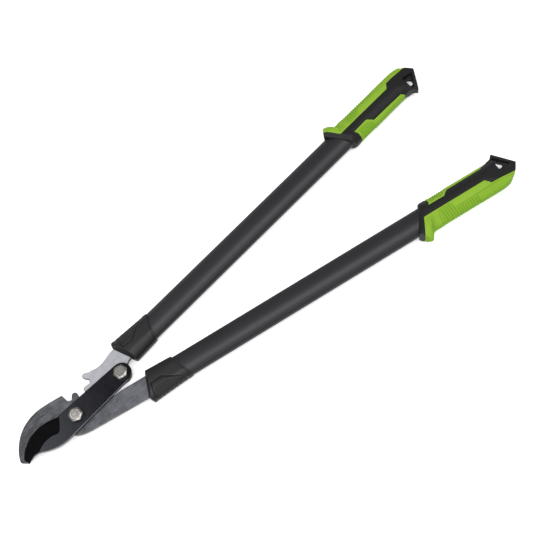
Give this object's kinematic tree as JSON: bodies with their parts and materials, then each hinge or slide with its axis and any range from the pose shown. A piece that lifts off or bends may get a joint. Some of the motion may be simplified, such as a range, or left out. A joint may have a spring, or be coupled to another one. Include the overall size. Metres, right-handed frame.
{
  "type": "bypass loppers",
  "caption": "Long-handled geared bypass loppers: hooked counter blade, curved cutting blade, toothed lever, oval tube handles and two-colour soft grips.",
  "frame": {"origin": "bottom centre of the bounding box, jaws closed, the tool lying on its side", "axes": "+X from the jaws to the grips, +Y across towards the moving handle, +Z along both pivots towards the bolt heads"},
  "size_m": [0.7527, 0.2404, 0.03],
  "materials": {
    "hook_steel": "forged, brushed along its length, faintly mottled",
    "lever_steel": "bright satin, fine brush marks",
    "blade_coating": "black low-friction coating, satin, faint speckle",
    "bolt_steel": "bright plated",
    "collar_plastic": "moulded, fine grain",
    "tube_paint": "satin powder coat",
    "sleeve_plastic": "moulded",
    "pin_steel": "plain",
    "grip_black": "moulded, fine grain",
    "grip_green": "soft-touch, fine grain, moulded ribs"
  },
  "bodies": {
    "lower_half": {"counter_blade": "hook_steel", "pivot_bolt": "bolt_steel", "pivot_washer": "bolt_steel", "pivot_nut": "bolt_steel", "lower_collar": "collar_plastic", "lower_tube": "tube_paint", "lower_tang_sleeve": "sleeve_plastic", "lower_tang_pins": "pin_steel", "lower_grip_core": "grip_black", "lower_palm_pad": "grip_green", "lower_finger_pad": "grip_green"},
    "blade": {"cutting_blade": "blade_coating", "link_bolt": "bolt_steel", "link_washer": "bolt_steel", "link_nut": "bolt_steel"},
    "upper_half": {"gear_lever": "lever_steel", "upper_collar": "collar_plastic", "upper_tube": "tube_paint", "upper_tang_sleeve": "sleeve_plastic", "upper_tang_pins": "pin_steel", "upper_grip_core": "grip_black", "upper_palm_pad": "grip_green", "upper_finger_pad": "grip_green"}
  },
  "joints": [
    {"name": "blade_pivot", "type": "hinge", "parent": "lower_half", "child": "blade", "pos_m": [-0.285, -0.0015, 0.015], "axis": [0, 0, 1], "range_deg": [0, 42]},
    {"name": "handle_pivot", "type": "hinge", "parent": "blade", "child": "upper_half", "pos_m": [-0.20787, 0.00702, 0.015], "axis": [0, 0, 1], "range_deg": [0, 24]}
  ],
  "couplings": [
    {"joint": "handle_pivot", "follows": "blade_pivot", "ratio": 0.55556}
  ]
}
